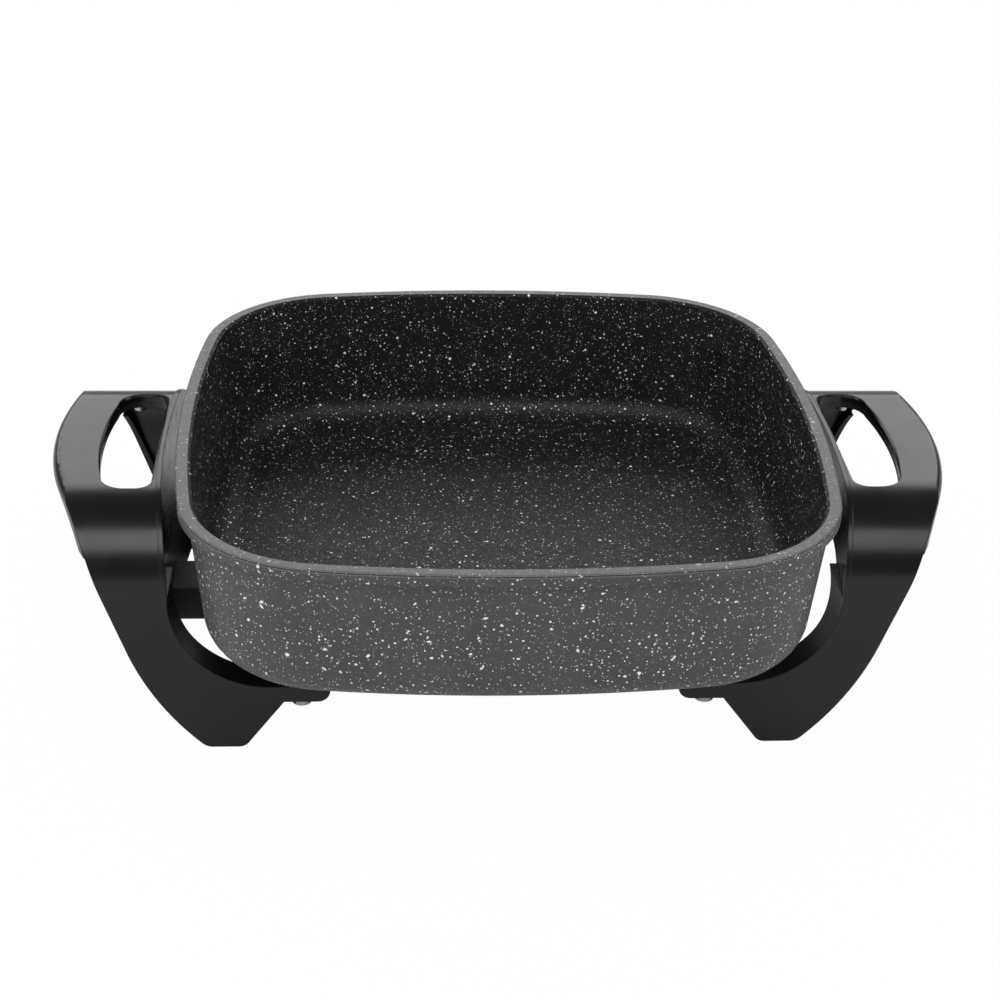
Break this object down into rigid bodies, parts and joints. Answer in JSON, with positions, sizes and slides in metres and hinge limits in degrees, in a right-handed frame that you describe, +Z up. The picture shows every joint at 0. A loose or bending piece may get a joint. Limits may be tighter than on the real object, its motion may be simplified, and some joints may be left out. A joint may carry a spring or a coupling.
{
  "type": "electric skillet",
  "caption": "Deep square cast skillet with bulging sides, two loop handles with built-in legs, an under-floor heating element and a side socket for a plug-in control.",
  "frame": {"origin": "on the table, below the middle of the pan", "axes": "+Z up, +X from the middle of the pan to the right handle, the socket is on the left at -X, -Y is the front"},
  "size_m": [0.426, 0.305, 0.134],
  "materials": {
    "pan_coating": "cast aluminium with a speckled grey coating outside and a dark speckled coating inside",
    "handle_plastic": "moulded black phenolic plastic, glossy above and fine textured on the legs",
    "steel": "zinc plated steel",
    "element_steel": "heat darkened steel tube",
    "pin_chrome": "nickel plated contact pins",
    "ceramic": "off white ceramic",
    "dark_plastic": "matt black phenolic plastic"
  },
  "bodies": {
    "root": {"pan_body": "pan_coating", "heating_element": "element_steel", "terminal_pins": "pin_chrome", "terminal_bushes": "ceramic", "sensor_sleeve": "steel", "socket_shroud": "dark_plastic", "socket_plate": "steel", "socket_plate_spacers": "steel", "socket_plate_screws": "steel", "socket_shroud_screws": "steel", "handle_left": "handle_plastic", "handle_cover_left": "dark_plastic", "handle_bar_left": "steel", "tongue_screws_left": "steel", "tongue_washers_left": "steel", "cover_screws_left": "steel", "handle_right": "handle_plastic", "handle_cover_right": "dark_plastic", "handle_bar_right": "steel", "tongue_screws_right": "steel", "tongue_washers_right": "steel", "cover_screws_right": "steel"}
  },
  "joints": []
}
